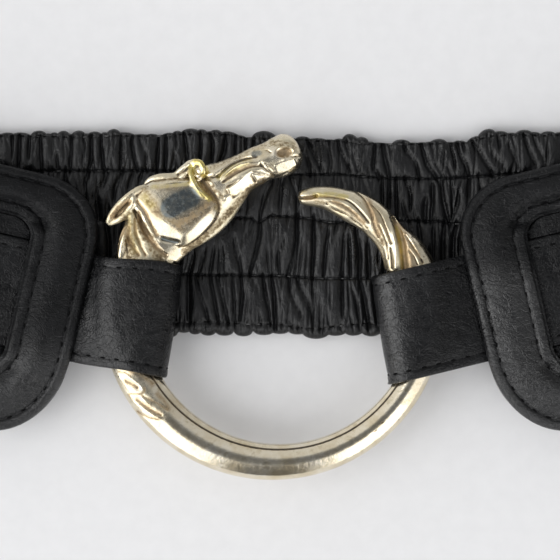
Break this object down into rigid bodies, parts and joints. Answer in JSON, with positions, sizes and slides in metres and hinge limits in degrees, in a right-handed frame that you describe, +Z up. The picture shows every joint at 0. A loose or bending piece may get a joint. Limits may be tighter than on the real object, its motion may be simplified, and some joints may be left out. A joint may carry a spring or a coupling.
{
  "type": "waist belt",
  "caption": "Closed waist belt lying flat: gathered leather and elastic back, two shaped leather front panels with windows, straps folded round an open cast horse-head ring.",
  "frame": {"origin": "under the middle of the whole belt, on the surface that it lies on", "axes": "+X along the belt from the horse's head to its tail, +Y from the ring's plain arc to its open mouth, +Z up from the surface"},
  "size_m": [0.3626, 0.0896, 0.0174],
  "materials": {
    "gathered_leather": "soft sheen",
    "smooth_leather": "soft sheen",
    "cast_metal": "polished, pale gilt plating with tarnish in the hollows"
  },
  "bodies": {
    "root": {"gathered_band": "gathered_leather", "panel_frame_right": "smooth_leather", "panel_frame_left": "smooth_leather", "panel_backing_right": "smooth_leather", "panel_backing_left": "smooth_leather", "strap_loop_right": "smooth_leather", "strap_loop_left": "smooth_leather", "ring_buckle": "cast_metal"}
  },
  "joints": []
}
